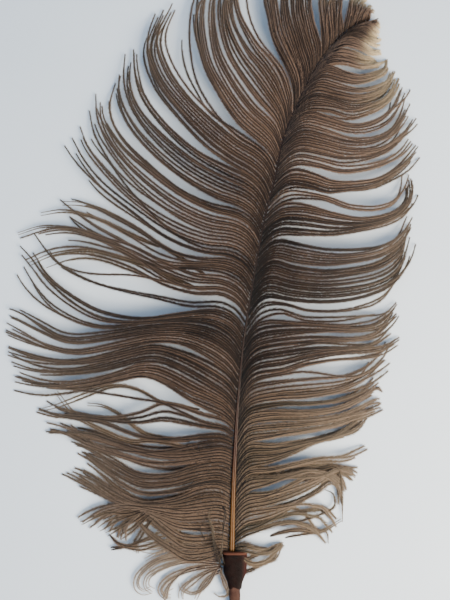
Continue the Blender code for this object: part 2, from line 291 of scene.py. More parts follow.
BASE_WISPS = (
    Wisp(((5.9, -180.2), (-7.9, -177.5), (-21.1, -177.5), (-34.3, -180.2), (-43.6, -185.5),
          (-49.5, -192.1), (-50.2, -198.7), (-46.2, -202.6), (-40.9, -201.3)),
         (3.8, 3.2, 1.4), copies=3, spread=1.9),
    Wisp(((5.9, -182.2), (-9.2, -181.5), (-22.4, -182.8), (-34.3, -186.8), (-42.2, -192.1),
          (-43.6, -198.7), (-39.6, -202)), (3.6, 2.8, 1.4), copies=3, spread=1.9),
    Wisp(((5.9, -184.1), (-7.9, -185.5), (-19.8, -188.8), (-29, -193.4), (-34.3, -200),
          (-32.3, -205.3), (-27.7, -205.9)), (3.4, 2.6, 1.2), copies=3, spread=1.7),
    Wisp(((5.9, -185.5), (-5.3, -189.4), (-13.2, -195.4), (-19.8, -202), (-20.5, -207.2)),
         (3.2, 2.4, 1.0), copies=3, spread=1.7),
    Wisp(((5.9, -187.4), (-2.6, -193.4), (-7.9, -200), (-11.2, -207.2)),
         (3.2, 2.2, 1.0), copies=2, spread=1.7),
    Wisp(((5.9, -178.9), (-4, -175.6), (-14.5, -173.6), (-26.4, -174.9), (-35.6, -178.2),
          (-43.6, -182.8)), (4.4, 3.8, 1.6), copies=4, spread=1.9),
    Wisp(((5.9, -176.2), (-4, -172.3), (-14.5, -169.6), (-26.4, -170.3), (-37, -172.9),
          (-46.2, -172.3)), (5.0, 4.4, 1.6), copies=4, spread=1.9),
    Wisp(((5.9, -185.5), (2.6, -186.8), (-2, -194.7), (-7.9, -201.3), (-14.5, -203.3),
          (-20.5, -200), (-21.1, -196.7)), (3.4, 3.0, 1.8), copies=2, spread=1.7),
    Wisp(((6.6, -185.5), (5.9, -189.4), (8.6, -196.7), (10.6, -203.3), (5.3, -205.3), (1.3, -203.3)),
         (3.6, 4.0, 2.0), copies=2, spread=1.1),
    Wisp(((-4.6, -185.5), (-14.5, -186.8), (-22.4, -191.4), (-29, -198.7), (-31, -206.6),
          (-30.4, -202), (-26.4, -199.3)), (3.0, 2.6, 1.6), copies=2, spread=1.7),
    Wisp(((5.9, -177.5), (-2.6, -174.9), (-11.9, -177.5), (-23.8, -180.2), (-34.3, -184.1),
          (-40.9, -189.4)), (4.6, 4.0, 1.6), copies=4, spread=1.9),
)

LEFT_FOOT_WISPS = (
    Wisp(((7.3, -143.9), (9.2, -148.5), (7.9, -157.1), (6.6, -167), (5.9, -176.9), (7.9, -183.5)),
         (8.5, 7.5, 5.5), copies=2, spread=1.0, full=0.25),
    Wisp(((7.9, -180.2), (2.6, -170.3), (0.7, -160.4), (-2, -152.5), (-1.3, -147.2), (2, -144.5),
          (5.9, -145.9)), (5.5, 7.8, 8.2), copies=2, spread=1.0, full=0.25),
    Wisp(((7.9, -183.5), (5.3, -182.2), (2.6, -173.6), (1.3, -163.7), (-0.7, -155.1),
          (-3.3, -151.1)), (5.5, 7.8, 8.2), copies=2, spread=1.0, full=0.25),
    Wisp(((-4, -165.7), (-7.9, -159.1), (-7.3, -155.8), (-3.3, -154.4), (0.7, -159.1),
          (-2.6, -163.7)), (7.6, 7.8, 7.6), copies=1, spread=1.0, full=0.25),
    Wisp(((-47.5, -145.9), (-57.4, -148.5), (-67.3, -148.5), (-77.2, -151.8), (-87.1, -156.4)),
         (7, 4, 1), copies=2, spread=2.5),
    Wisp(((-47.5, -147.2), (-57.4, -151.8), (-67.3, -155.8), (-75.2, -161)),
         (7, 4, 1), copies=2, spread=2.5),
    Wisp(((-44.2, -148.5), (-54.1, -155.1), (-64, -160.4), (-70, -164.3)),
         (7, 4, 1), copies=2, spread=2.5),
    Wisp(((-40.9, -149.8), (-50.2, -157.7), (-56.8, -163), (-61.4, -167)),
         (7, 4, 1), copies=2, spread=2.5),
    Wisp(((-37.6, -151.1), (-44.2, -159.1), (-48.2, -165.7), (-50.8, -170.3), (-49.5, -176.9)),
         (7, 4, 1), copies=2, spread=2.0),
    Wisp(((-68.6, -164.3), (-60.7, -170.3), (-47.5, -172.3), (-34.3, -168.3), (-21.1, -164.3)),
         (1.2, 5, 7), copies=2, spread=2.0),
    Wisp(((-67.3, -173.6), (-54.1, -170.9), (-35.6, -163.7), (-21.1, -159.1)),
         (1.2, 5, 7), copies=2, spread=2.0),
)

LEFT_WAIST_WISPS = (
    Wisp(((-4.6, 7.9), (-21.1, 19.1), (-34.3, 27.7), (-47.5, 37.6), (-60.7, 45.5), (-73.9, 51.5),
          (-87.1, 54.8), (-99, 55.4)), (11, 8, 1.5), copies=2, spread=1.6),
    Wisp(((-34.3, 25.7), (-54.1, 35), (-68.6, 42.2), (-87.1, 48.2), (-100.3, 50.2), (-113.5, 48.8)),
         (10, 7, 1.2), copies=2, spread=1.6),
    Wisp(((-14.5, -2), (-34.3, 9.9), (-50.2, 19.1), (-73.9, 33), (-87.1, 37.6), (-100.3, 39.6),
          (-113.5, 39.6), (-128.7, 35)), (11, 8, 1.2), copies=2, spread=1.6),
    Wisp(((-7.9, -2), (-27.7, 7.3), (-44.2, 13.9), (-60.7, 19.1), (-77.2, 23.8), (-90.4, 24.4),
          (-106.9, 21.8), (-122.1, 15.2)), (11, 8, 1.2), copies=2, spread=1.6),
    Wisp(((-34.3, 4.6), (-54.1, 11.2), (-70.6, 16.5), (-83.8, 18.5), (-97, 17.2), (-110.2, 13.2)),
         (10, 7, 1.2), copies=1, spread=1.4),
    Wisp(((-7.9, -79.9), (-21.1, -77.2), (-34.3, -74.6), (-47.5, -68), (-60.7, -65.3),
          (-73.9, -68), (-100.3, -77.9), (-112.2, -81.2)), (9, 8, 1.2), copies=2, spread=1.6),
    Wisp(((-14.5, -101), (-31, -99.7), (-45.5, -95.7), (-60.7, -83.8), (-71.9, -78.5),
          (-82.5, -77.9)), (9, 8, 1.4), copies=2, spread=1.6),
    Wisp(((-7.9, -107.6), (-24.4, -103.6), (-40.9, -101), (-54.1, -101), (-73.9, -93.1),
          (-90.4, -84.5), (-103.6, -70)), (9, 7, 1.4), copies=2, spread=1.6),
)

RIGHT_FOOT_WISPS = (
    Wisp(((17.2, -189.4), (22.4, -188.1), (33, -183.5), (41.6, -180.2), (45.5, -170.3)),
         (3.4, 4.0, 1.2), copies=2, spread=1.6),
    Wisp(((17.2, -181.5), (22.4, -180.2), (33, -175.6), (41.6, -172.3), (47.5, -170.9)),
         (4, 4.5, 1.6), copies=2, spread=2.0),
    Wisp(((58.1, -126.1), (74.6, -119.5), (83.2, -120.8), (85.8, -137.3), (87.1, -155.8)),
         (7, 3.5, 1.0), copies=1, spread=1.6),
    Wisp(((61.4, -128.7), (77.9, -122.8), (87.8, -123.4), (94.4, -127.4)),
         (7, 3.5, 1.0), copies=2, spread=2.0),
    Wisp(((44.9, -156.4), (58.1, -153.8), (71.3, -150.5), (81.2, -145.9), (81.2, -137.3),
          (75.2, -134)), (7, 3.5, 1.0), copies=1, spread=1.6),
    Wisp(((38.3, -164.3), (48.2, -161.7), (58.1, -160.4), (71.3, -161.7), (85.8, -155.1)),
         (7, 3.0, 1.0), copies=2, spread=2.0),
    Wisp(((48.2, -165.7), (61.4, -163), (74.6, -162.4), (77.2, -170.3)),
         (6, 2.5, 1.0), copies=1, spread=1.6),
)


# ---------------------------------------------------------------- curves in plan


def eased(knots: tuple, share: float) -> float:
    """The value at a share of the way through knots, eased between them.

    Args:
        knots: (share, value) pairs, the shares rising.
        share: Where to read it.

    Returns:
        The value there.
    """
    for (start, low), (end, high) in zip(knots, knots[1:]):
        if share <= end:
            step = max(0.0, share - start) / (end - start)
            return low + (high - low) * step * step * (3.0 - 2.0 * step)
    return knots[-1][1]


def smooth_step(low: float, high: float, value: np.ndarray) -> np.ndarray:
    """0 below low, 1 above high, and an S-curve between them."""
    step = np.clip((value - low) / (high - low), 0.0, 1.0)
    return step * step * (3.0 - 2.0 * step)


def smooth_route(points: list, count: int) -> np.ndarray:
    """A smooth curve through points.

    Args:
        points: The points that it passes through.
        count: How many evenly spaced points to return.

    Returns:
        An array with one row for each point of the curve.
    """
    rows = np.array(points, float)
    padded = np.vstack([2 * rows[0] - rows[1], rows, 2 * rows[-1] - rows[-2]])
    steps = np.linspace(0.0, 1.0, 12, endpoint=False)[:, None]
    pieces = [
        0.5 * (2 * b + (c - a) * steps + (2 * a - 5 * b + 4 * c - d) * steps**2
               + (3 * b - a - 3 * c + d) * steps**3)
        for a, b, c, d in zip(padded, padded[1:], padded[2:], padded[3:])
    ]
    dense = np.vstack([*pieces, rows[-1:]])
    walked = np.concatenate([[0.0], np.cumsum(np.linalg.norm(np.diff(dense, axis=0), axis=1))])
    places = np.linspace(0.0, walked[-1], count)
    return np.stack([np.interp(places, walked, dense[:, k]) for k in range(2)], 1)


def leftward(route: np.ndarray) -> np.ndarray:
    """The unit direction across a route, to the left of its course.

    Args:
        route: Its points in plan.

    Returns:
        One direction for each point.
    """
    ahead = np.gradient(route, axis=0)
    ahead /= np.linalg.norm(ahead, axis=1)[:, None]
    return np.column_stack([-ahead[:, 1], ahead[:, 0]])


def ripple(
    draw: np.random.Generator, size: float | np.ndarray, along: np.ndarray, turns: tuple
) -> np.ndarray:
    """A wave along a barb, of a random number of turns and with a random start."""
    return size * np.sin(2 * math.pi * (draw.uniform(*turns) * along + draw.random()))


@dataclass
class Rachis:
    """The line of the shaft, which the vanes and the horn both follow.

    Attributes:
        path: Its points in plan, in mm, from inside the sleeve to the crown.
        rise: Its height above the surface at each share of its length, in mm.
        width: Its width at each share of its length, in mm.
        stations: How many evenly spaced stations it is worked out at.
    """

    path: tuple = (
        (13.4, -190.0), (13.2, -174.0), (13.9, -140.6), (14.9, -114.2), (17.2, -74.6),
        (21.1, -35.0), (27.4, 4.6), (34.6, 44.2), (41.2, 70.6), (46.9, 97.0),
        (57.4, 123.4), (71.9, 149.8), (89.8, 169.0), (110.2, 177.9),
    )
    rise: tuple = ((0.0, 3.3), (0.06, 3.4), (0.35, 8.5), (0.62, 11.0), (0.86, 8.0), (1.0, 3.2))
    width: tuple = ((0.0, 3.2), (0.05, 3.6), (0.15, 3.1), (0.3, 2.2), (0.55, 1.5), (1.0, 0.6))
    stations: int = 400
    points: np.ndarray = field(init=False)
    ahead: np.ndarray = field(init=False)
    shares: np.ndarray = field(init=False)
    length: float = field(init=False)

    def __post_init__(self) -> None:
        """Work out the points and directions at every station."""
        plan = smooth_route(list(self.path), self.stations)
        self.length = float(np.linalg.norm(np.diff(plan, axis=0), axis=1).sum())
        self.shares = np.linspace(0.0, 1.0, self.stations)
        heights = np.array([eased(self.rise, share) for share in self.shares])
        self.points = np.column_stack([plan, heights])
        ahead = np.gradient(plan, axis=0)
        self.ahead = ahead / np.linalg.norm(ahead, axis=1)[:, None]

    def share_at(self, y: float) -> float:
        """The share of the length where the shaft reaches this Y, in mm."""
        return float(np.interp(y, self.points[:, 1], self.shares))

    def at(self, share: float) -> tuple[np.ndarray, np.ndarray, float]:
        """What the shaft is like at one place.

        Args:
            share: The place, as a share of the length.

        Returns:
            Its centre, its direction in plan and its width there.
        """
        centre = np.array([np.interp(share, self.shares, self.points[:, k]) for k in range(3)])
        ahead = np.array([np.interp(share, self.shares, self.ahead[:, k]) for k in range(2)])
        return centre, ahead / np.linalg.norm(ahead), eased(self.width, share)


# ---------------------------------------------------------------- strands


@dataclass
class Strand:
    """One barb as a line.

    Attributes:
        points: Its points in mm, from root to tip.
        thick: Its thickness at each point, as a share of the fullest.
        fringe: The length of its barbules at each point, as a share of the longest.
        tone: How light it is, from 0 up.
        pale: How far it turns cream at each point, 0 to 1: painted light through the thin tips at the crown,
            the barbs' own paler colour elsewhere.
    """

    points: np.ndarray
    thick: np.ndarray
    fringe: np.ndarray
    tone: float
    pale: np.ndarray


def placed(name: str, content: bpy.types.ID) -> bpy.types.Object:
    """A new object in the scene.

    Args:
        name: Its name.
        content: The mesh, lamp or camera that it holds.

    Returns:
        The object.
    """
    thing = bpy.data.objects.new(name, content)
    bpy.context.scene.collection.objects.link(thing)
    return thing


def strand_mesh(name: str, strands: list[Strand]) -> bpy.types.Object:
    """An object of edges only, one chain for each strand, with their values as attributes.

    Args:
        name: The object's name.
        strands: The strands to draw.

    Returns:
        The new object.
    """
    counts = [len(strand.points) for strand in strands]
    starts = np.concatenate([[0], np.cumsum(counts)])[:-1]
    edges = [(start + n, start + n + 1) for start, count in zip(starts, counts) for n in range(count - 1)]
    mesh = bpy.data.meshes.new(name)
    mesh.from_pydata((np.vstack([strand.points for strand in strands]) * MM).tolist(), edges, [])
    columns = {
        "thick": [strand.thick for strand in strands],
        "fringe": [strand.fringe for strand in strands],
        "tone": [np.full(count, strand.tone) for count, strand in zip(counts, strands)],
        "pale": [strand.pale for strand in strands],
        "along": [np.linspace(0.0, 1.0, count) for count in counts],
    }
    for label, values in columns.items():
        attribute = mesh.attributes.new(label, "FLOAT", "POINT")
        attribute.data.foreach_set("value", np.concatenate(values).astype(np.float32))
    return placed(name, mesh)


# ---------------------------------------------------------------- node trees


class Wiring:
    """A node tree with short calls to add nodes and join them."""

    def __init__(self, tree: bpy.types.NodeTree) -> None:
        """Keep the tree that is worked on."""
        self.tree = tree

    def feed(self, target: bpy.types.NodeSocket, value: object) -> None:
        """Give an input its value.

        Args:
            target: The input.
            value: The output to join to it, or else a plain value.
        """
        if isinstance(value, bpy.types.NodeSocket):
            self.tree.links.new(value, target)
        else:
            target.default_value = value

    def add(self, kind: str, feeds: dict | None = None, **settings: object) -> bpy.types.Node:
        """Add a node.

        Args:
            kind: Its type.
            feeds: What goes into its inputs, each under its name or its place in the row.
            settings: Its properties.

        Returns:
            The node.
        """
        node = self.tree.nodes.new(kind)
        for label, value in settings.items():
            setattr(node, label, value)
        for label, value in (feeds or {}).items():
            self.feed(node.inputs[label], value)
        return node

    def calculate(self, kind: str, first: object, second: object = 0.0) -> bpy.types.NodeSocket:
        """The result of a Math node on two values."""
        return self.add("ShaderNodeMath", {0: first, 1: second}, operation=kind).outputs[0]

    def times(self, first: object, second: object) -> bpy.types.NodeSocket:
        """Two values multiplied."""
        return self.calculate("MULTIPLY", first, second)


class BarbWiring(Wiring):
    """The Geometry Nodes that turn lines into barbs with their barbules."""

    YAW = (0.6, 1.4)  # a barbule's lean, as a share of the usual one
    ROLL = (-0.8, 0.8)  # how it turns round its own length, in radians
    PITCH = (-0.06, 0.3)  # how it tips up or down, in radians
    LENGTHS = (0.7, 1.15)  # its length, as a share of the usual one

    def __init__(self, tree: bpy.types.NodeTree) -> None:
        """Start from the tree's own inputs."""
        super().__init__(tree)
        self.sizes = self.add("NodeGroupInput").outputs
        self.curves = self.add("GeometryNodeMeshToCurve", {0: self.sizes["Geometry"]}).outputs[0]

    def named(self, label: str) -> bpy.types.NodeSocket:
        """The value of a named attribute."""
        node = self.add("GeometryNodeInputNamedAttribute", {"Name": label}, data_type="FLOAT")
        return node.outputs["Attribute"]

    def random(self, limits: tuple, shift: int) -> bpy.types.NodeSocket:
        """A random number for each point.

        Args:
            limits: The least and the most that it can be.
            shift: What is added to the Seed input, so that no two draws are alike.

        Returns:
            The number.
        """
        seed = self.calculate("ADD", self.sizes["Seed"], float(shift))
        feeds = {2: limits[0], 3: limits[1], "Seed": seed}
        return self.add("FunctionNodeRandomValue", feeds, data_type="FLOAT").outputs[1]

    def painted(self, shape: bpy.types.NodeSocket, finish: bpy.types.Material) -> bpy.types.NodeSocket:
        """A shape with its material."""
        return self.add("GeometryNodeSetMaterial", {"Geometry": shape, "Material": finish}).outputs[0]

    def stems(self, finish: bpy.types.Material) -> bpy.types.NodeSocket:
        """The stems: a three-sided tapered tube along each line.

        Args:
            finish: Their material.

        Returns:
            Their geometry.
        """
        feeds = {"Resolution": 3, "Radius": 1.0}
        profile = self.add("GeometryNodeCurvePrimitiveCircle", feeds, mode="RADIUS")
        tube = self.add("GeometryNodeCurveToMesh", {
            "Curve": self.curves, "Profile Curve": profile.outputs[0], "Fill Caps": True,
            "Scale": self.times(self.named("thick"), self.sizes["Ramus Radius"]),
        })
        return self.painted(tube.outputs[0], finish)

    def blade(self) -> bpy.types.NodeSocket:
        """One barbule of unit length and width, from its foot at the origin to its point on +X.

        Returns:
            Its geometry, which carries how far along it each point is as "reach".
        """
        triangle = self.add("GeometryNodeMeshCircle", {"Vertices": 3, "Radius": 1.0}, fill_type="NGON")
        shape = self.add("GeometryNodeTransform", {
            "Geometry": triangle.outputs[0], "Translation": (1.0 / 3.0, 0.0, 0.0),
            "Scale": (2.0 / 3.0, 1.0 / math.sqrt(3.0), 1.0),
        })
        place = self.add("ShaderNodeSeparateXYZ", {0: self.add("GeometryNodeInputPosition").outputs[0]})
        feeds = {"Geometry": shape.outputs[0], "Name": "reach", "Value": place.outputs["X"]}
        mark = self.add("GeometryNodeStoreNamedAttribute", feeds, data_type="FLOAT", domain="POINT")
        return mark.outputs[0]

    def fringe(self, side: float, finish: bpy.types.Material) -> bpy.types.NodeSocket:
        """The barbules along one side of every line.

        Args:
            side: 1 for the left of the line, -1 for the right.
            finish: Their material.

        Returns:
            Their geometry, with the instances realized.
        """
        shift = 10 if side > 0 else 20
        feeds = {"Curve": self.curves, "Length": self.sizes["Barbule Spacing"]}
        points = self.add("GeometryNodeCurveToPoints", feeds, mode="LENGTH")
        feeds = {"Primary Axis": points.outputs["Tangent"], "Secondary Axis": (0.0, 0.0, 1.0)}
        turn = self.add("FunctionNodeAxesToRotation", feeds, primary_axis="X", secondary_axis="Z")
        lean = self.add("ShaderNodeCombineXYZ", {
            "X": self.random(self.ROLL, shift + 1), "Y": self.random(self.PITCH, shift + 2),
            "Z": self.times(self.times(self.sizes["Barbule Lean"], side), self.random(self.YAW, shift)),
        })
        euler = self.add("FunctionNodeEulerToRotation", {0: lean.outputs[0]})
        feeds = {0: turn.outputs[0], 1: euler.outputs[0]}
        rotate = self.add("FunctionNodeRotateRotation", feeds, rotation_space="LOCAL")
        length = self.times(self.sizes["Barbule Length"], self.named("fringe"))
        length = self.times(length, self.random(self.LENGTHS, shift + 3))
        size = self.add("ShaderNodeCombineXYZ", {"X": length, "Y": self.sizes["Barbule Width"], "Z": 1.0})
        blades = self.add("GeometryNodeInstanceOnPoints", {
            "Points": points.outputs["Points"], "Instance": self.blade(),
            "Rotation": rotate.outputs[0], "Scale": size.outputs[0],
        })
        real = self.add("GeometryNodeRealizeInstances", {0: blades.outputs[0]})
        return self.painted(real.outputs[0], finish)


@dataclass
class BarbTree:
    """One kind of barb, with its own Geometry Nodes tree.

    Attributes:
        stem: The material of the barbs' stems.
        barbule: The material of the barbules.
        ramus_radius: The radius of a barb's stem where it is fullest, in mm.
        spacing: The distance between barbules along one side of a barb, in mm.
        length: The length of the longest barbules, in mm.
        width: The width of a barbule at its foot, in mm.
        lean: The angle between a barbule and its barb, in degrees.
        seed: The seed of every random draw in the tree.
    """

    stem: bpy.types.Material
    barbule: bpy.types.Material
    ramus_radius: float = 0.46
    spacing: float = 0.14
    length: float = 3.5
    width: float = 0.25
    lean: float = 25.0
    seed: int = 7
    group: bpy.types.NodeTree = field(init=False)

    INPUTS = (
        ("Ramus Radius", "ramus_radius", MM), ("Barbule Spacing", "spacing", MM),
        ("Barbule Length", "length", MM), ("Barbule Width", "width", MM),
        ("Barbule Lean", "lean", math.pi / 180.0),
    )

    def __post_init__(self) -> None:
        """Make the tree, with one named input for each size."""
        self.group = bpy.data.node_groups.new("barbs_with_barbules", "GeometryNodeTree")
        face = self.group.interface
        face.new_socket("Geometry", in_out="INPUT", socket_type="NodeSocketGeometry")
        for label, _, _ in self.INPUTS:
            face.new_socket(label, in_out="INPUT", socket_type="NodeSocketFloat")
        face.new_socket("Seed", in_out="INPUT", socket_type="NodeSocketInt")
        face.new_socket("Geometry", in_out="OUTPUT", socket_type="NodeSocketGeometry")
        wiring = BarbWiring(self.group)
        gather = wiring.add("GeometryNodeJoinGeometry")
        wiring.feed(gather.inputs[0], wiring.stems(self.stem))
        for side in (1.0, -1.0):
            wiring.feed(gather.inputs[0], wiring.fringe(side, self.barbule))
        wiring.add("NodeGroupOutput", {0: gather.outputs[0]})

    def grow(self, lines: bpy.types.Object) -> bpy.types.Object:
        """Run the tree on lines and keep the result as a plain mesh.

        Args:
            lines: An object that strand_mesh made.

        Returns:
            A new object of the same name, with no modifier.
        """
        modifier = lines.modifiers.new("barbs", "NODES")
        modifier.node_group = self.group
        sockets = {item.name: item.identifier for item in self.group.interface.items_tree
                   if item.item_type == "SOCKET" and item.in_out == "INPUT"}
        for label, size, unit in self.INPUTS:
            modifier[sockets[label]] = getattr(self, size) * unit
        modifier[sockets["Seed"]] = self.seed
        graph = bpy.context.evaluated_depsgraph_get()
        mesh = bpy.data.meshes.new_from_object(lines.evaluated_get(graph))
        name = lines.name
        bpy.data.objects.remove(lines, do_unlink=True)
        piece = placed(name, mesh)
        mesh.name = name
        return piece


def settle(piece: bpy.types.Object, node: str) -> None:
    """Let a finished piece ride on the body, stand for its node and report itself.

    Args:
        piece: The piece.
        node: The solid that it stands for.
    """
    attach(piece, BODY)
    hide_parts(node)
    piece.data.calc_loop_triangles()
    log.info("%s: %d triangles", piece.name, len(piece.data.loop_triangles))


# ---------------------------------------------------------------- vanes


@dataclass(frozen=True)
class Guide:
    """A barb whose course is given.

    Attributes:
        share: Where it grows, as a share of the shaft's length.
        lock: The lock that it belongs to.
        route: Its course in plan, in mm.
    """

    share: float
    lock: Lock
    route: np.ndarray


@dataclass
class Vane:
    """The barbs along one side of the shaft.

    Attributes:
        side: The side that they grow on.
        locks: Its locks, from the grip upwards.
        rachis: The line of the shaft.
        seed: The seed of every random draw.
        gilt: How far whole barbs bleach towards cream, at each share of the length.
        painted_lightness: What their lightness gains, at each share of the length: painted light at the foot
            and the crown, painted shade at the waist.
        spacing: The distance between two roots at each share of the shaft's length, in mm.
        count: How many points a barb's line has.
        setback: How far down the shaft from its course a barb takes root, in mm.
        elbow: How far out from the shaft it joins its course, in mm.
        splay: How far barbs between two locks keep apart, in mm for the whole shaft's length.
        curl: How far most tips curl sideways, in mm.
        short: How far the shortest barb stops before its course ends, as a share of it.
        under: How many extra barbs lie beneath for each one, at each share of the length.
        sag: How far the lower layer hangs at mid length, in mm.
        crown: How high it arches between the shaft and the surface, in mm.
        tips: The lowest and the highest that a tip lies, in mm.
        lowest: The height that no barb goes below, in mm.
        seat: How far out from the middle of the shaft a barb grows at each share of its
            length, as a share of the shaft's width.
        perch: How far above the middle, in the same terms.
    """

    side: Side
    locks: tuple
    rachis: Rachis
    seed: int
    gilt: tuple
    painted_lightness: tuple = ((0.0, 0.2), (0.22, 0.1), (0.4, -0.4), (0.55, 0.0), (0.75, 0.6), (1.0, 0.7))
    spacing: tuple = ((0.0, 2.5), (0.2, 2.3), (0.38, 1.8), (1.0, 1.7))
    count: int = 30
    setback: float = 4.5
    elbow: float = 11.0
    splay: float = 110.0
    curl: float = 2.2
    short: float = 0.2
    under: tuple = (
        (0.0, 1.4), (0.22, 1.0), (0.36, 0.1), (0.62, 0.1), (0.74, 0.4), (0.9, 0.3), (1.0, 0.0),
    )
    sag: float = 2.4
    crown: float = 5.0
    tips: tuple = (0.5, 2.6)
    lowest: float = 0.5
    seat: tuple = ((0.0, 0.4), (0.2, 0.4), (0.4, 0.3), (1.0, 0.25))
    perch: tuple = ((0.0, -0.1), (0.2, -0.05), (0.4, 0.25), (1.0, 0.3))
    guides: list[Guide] = field(init=False)
    along: np.ndarray = field(init=False)
    draw: np.random.Generator = field(init=False)

    def __post_init__(self) -> None:
        """Lay every guide out from the shaft."""
        self.draw = np.random.default_rng(self.seed)
        self.along = np.linspace(0.0, 1.0, self.count)
        self.guides = []
        for lock in self.locks:
            log.debug("%s lock %s: %d guides", self.side.name.lower(), lock.name, len(lock.guides))
            for root, *course in lock.guides:
                share = self.rachis.share_at(root)
                start = tuple(self.rachis.at(share)[0][:2])
                self.guides.append(Guide(share, lock, smooth_route([start, *course], self.count)))

    def _crownward(self, route: np.ndarray) -> np.ndarray:
        """The unit direction across a route, towards the crown."""
        return self.side.value * leftward(route)

    def _held(self, share: float) -> float:
        """A share of the length, held between the lowest guide and the crown."""
        return float(np.clip(share, self.guides[0].share, 1.0))

    def _course(self, share: float) -> tuple[Lock, np.ndarray]:
        """The lock and the undisturbed route of a barb.

        Args:
            share: Where it grows, as a share of the shaft's length.

        Returns:
            Its lock, and its route in plan, in mm.
        """
        shares = [guide.share for guide in self.guides]
        above = int(np.clip(np.searchsorted(shares, share), 1, len(shares) - 1))
        low, high = self.guides[above - 1], self.guides[above]
        step = (share - low.share) / (high.share - low.share)
        between = low.route * (1.0 - step) + high.route * step
        if low.lock is high.lock:
            return low.lock, between
        near = low if step < 0.5 else high
        own = near.route + self.splay * (share - near.share) * self._crownward(near.route)
        part = smooth_step(0.05, 0.4, self.along)[:, None]
        return near.lock, between * (1.0 - part) + own * part

    def _root(self, share: float) -> np.ndarray:
        """Where a barb grows.

        Args:
            share: Its place, as a share of the shaft's length.

        Returns:
            The point on the flank of the shaft, in mm.
        """
        centre, ahead, width = self.rachis.at(share)
        across = self.side.value * np.array([ahead[1], -ahead[0]])
        out, up = eased(self.seat, share), eased(self.perch, share)
        return np.array([*(centre[:2] + across * width * out), centre[2] + up * width])

    def _barb(self, share: float, group_route: np.ndarray, sway: np.ndarray, tone: float) -> Strand:
        """One barb.

        Args:
            share: Where it grows, as a share of the shaft's length.
            group_route: The route that its group gathers to.
            sway: The group's sideways sway at each point, in mm.
            tone: The group's lightness.

        Returns:
            The finished strand.
        """
        draw, along = self.draw, self.along
        lock, route = self._course(share)
        if draw.random() < lock.stray:
            jump = draw.choice((-1.0, 1.0)) * draw.uniform(0.008, 0.03)
            astray = self._course(self._held(share + jump))[1]
            route = route + (astray - route) * smooth_step(0.15, 0.9, along)[:, None]
            hold = 0.0
        else:
            hold = lock.tidy * draw.uniform(0.45, 1.0)
        route = route + (group_route - route) * (hold * smooth_step(0.3, 0.95, along))[:, None]
        own = ripple(draw, draw.uniform(0.3, 1.5) * along**1.4, along, (0.5, 1.6))
        curl = draw.normal(0.0, self.curl) * smooth_step(0.72, 1.0, along)
        slack = min(1.0, float(np.linalg.norm(route[-1] - route[0])) / 80.0)
        route = route + self._crownward(route) * (slack * (sway + own + curl))[:, None]
        reach = 1.0 - draw.random() ** 2 * self.short
        route = np.stack([np.interp(along * reach, along, route[:, k]) for k in range(2)], 1)
        root = self._root(share)
        route = route + (root[:2] - route[0]) * ((1.0 - along) ** 4)[:, None]
        out = np.linalg.norm(route - root[:2], axis=1)
        back = self.setback * np.clip(1.0 - out / self.elbow, 0.0, 1.0) ** 2
        route = route - self.rachis.at(share)[1] * back[:, None]
        tip = draw.uniform(*self.tips)
        arch = self.crown + draw.normal(0.0, 0.2)
        wave = ripple(draw, draw.normal(0.0, 0.2) * np.sin(math.pi * along), along, (0.8, 2.0))
        height = root[2] * (1 - along**2) + arch * 4 * along * (1 - along) + tip * along**2 + wave
        full = (eased(self.spacing, share) / 1.8) ** 0.9 * (1.0 + 0.5 * max(0.0, lock.pale - 0.5))
        return Strand(
            points=np.column_stack([route, np.maximum(height, self.lowest)]),
            thick=1.0 - 0.84 * along**1.4,
            fringe=full * (0.75 + 0.15 * smooth_step(0.0, 0.1, along)) * (
                1.0 - 0.12 * smooth_step(0.3, 0.65, along) - 0.4 * smooth_step(0.84, 1.0, along)),
            # painted light and shade by place along the shaft: lighter at the foot and the crown, darker at
            # the waist
            tone=float(np.clip(tone + eased(self.painted_lightness, share) + draw.normal(0.0, 0.18), 0.0, 1.6)),
            pale=np.maximum(lock.pale * smooth_step(0.45, 1.0, along), eased(self.gilt, share)),
        )

    def _under(self, share: float) -> Strand:
        """A barb of the lower layer, which fills the gaps between its neighbours.

        Args:
            share: Where the barb above it grows, as a share of the shaft's length.

        Returns:
            The finished strand.
        """
        share = self._held(share + self.draw.uniform(-0.006, 0.006))
        sway = ripple(self.draw, self.draw.uniform(0.5, 3.0) * self.along, self.along, (0.3, 1.2))
        strand = self._barb(share, self._course(share)[1], sway, self.draw.random())
        drop = self.sag * np.sin(math.pi * self.along)
        strand.points[:, 2] = np.maximum(strand.points[:, 2] - drop - 0.8, self.lowest + 0.1)
        strand.thick *= 0.6
        return strand

    def _roots(self) -> list[float]:
        """Where the upper barbs grow.

        Returns:
            Their places, as shares of the shaft's length.
        """
        shares = []
        share = self.guides[0].share
        while share < 0.997:
            step = eased(self.spacing, share) / self.rachis.length
            shares.append(share + self.draw.uniform(-0.3, 0.3) * step)
            share += step
        return shares

    def strands(self) -> dict[Stretch, list[Strand]]:
        """Grow the whole vane, in groups of barbs that gather and sway together.

        Returns:
            Every barb, by the stretch that it belongs to.
        """
        draw, along = self.draw, self.along
        shares = self._roots()
        found: dict[Stretch, list[Strand]] = {stretch: [] for stretch in Stretch}
        start = 0
        while start < len(shares):
            lock = self._course(shares[start])[0]
            end = start + 1
            most = start + int(draw.integers(2, 7))
            while end < min(most, len(shares)) and self._course(shares[end])[0] is lock:
                end += 1
            group_route = self._course(sum(shares[start:end]) / (end - start))[1]
            sway = ripple(draw, draw.uniform(0.2, 2.0) * along**1.3, along, (0.3, 1.0))
            tone = draw.random()
            lone = len(lock.guides) == 1  # it grows every other barb, so that they stand apart
            if lone:
                end = start + 1
            for share in shares[start:end]:
                found[lock.stretch].append(self._barb(share, group_route, sway, tone))
                for _ in range(int(eased(self.under, share) + draw.random())):
                    found[lock.stretch].append(self._under(share))
            start = end + lone
        return found


